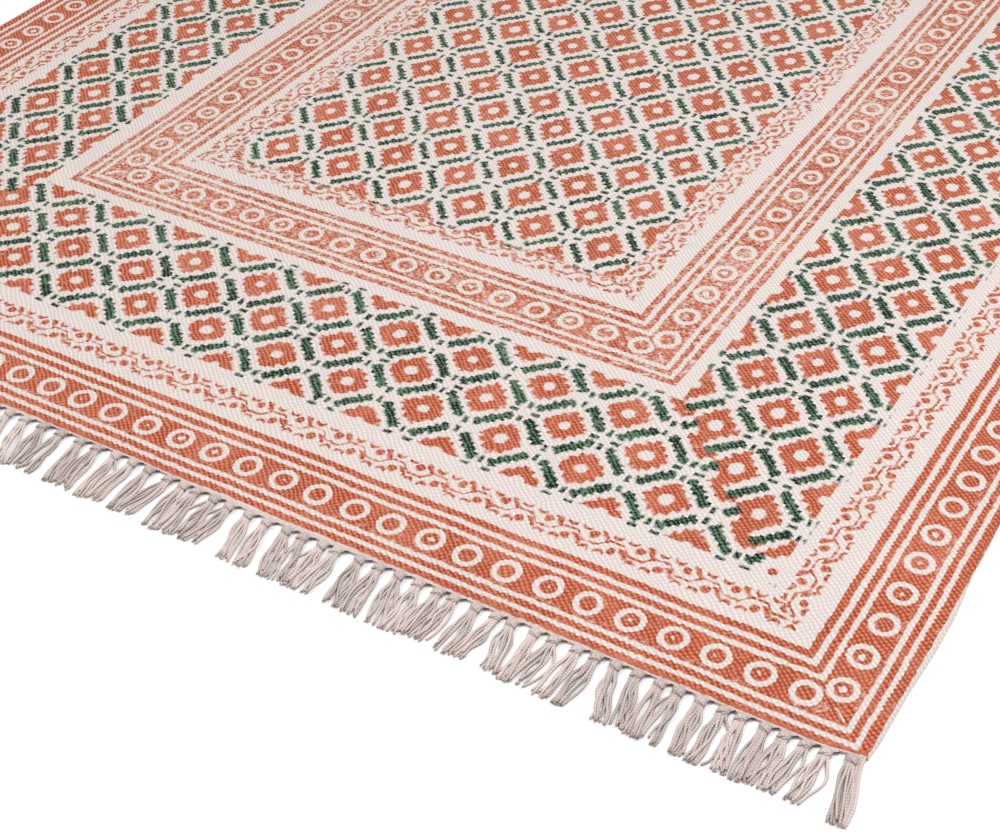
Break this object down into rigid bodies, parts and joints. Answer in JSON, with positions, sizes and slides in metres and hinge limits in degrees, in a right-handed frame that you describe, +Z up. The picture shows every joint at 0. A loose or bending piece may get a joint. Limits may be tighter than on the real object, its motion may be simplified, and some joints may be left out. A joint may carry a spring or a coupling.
{
  "type": "block-printed cotton rug",
  "caption": "Flat rectangular cotton rug with printed lattice and border bands and a knotted tassel fringe along both short ends.",
  "frame": {"origin": "on the floor under the middle of the whole rug, fringes included", "axes": "+X along the fringed short ends, to the right seen from the near end; +Y along the rug's length, away from the near end; +Z up, out of the printed face"},
  "size_m": [1.2342, 1.9492, 0.0056],
  "materials": {
    "printed_cotton": "matt woven cotton with a terracotta and green block print on natural white",
    "bare_cotton": "matt unbleached cotton yarn"
  },
  "bodies": {
    "root": {"rug_cloth": "printed_cotton", "fringe_near": "bare_cotton", "fringe_far": "bare_cotton"}
  },
  "joints": []
}
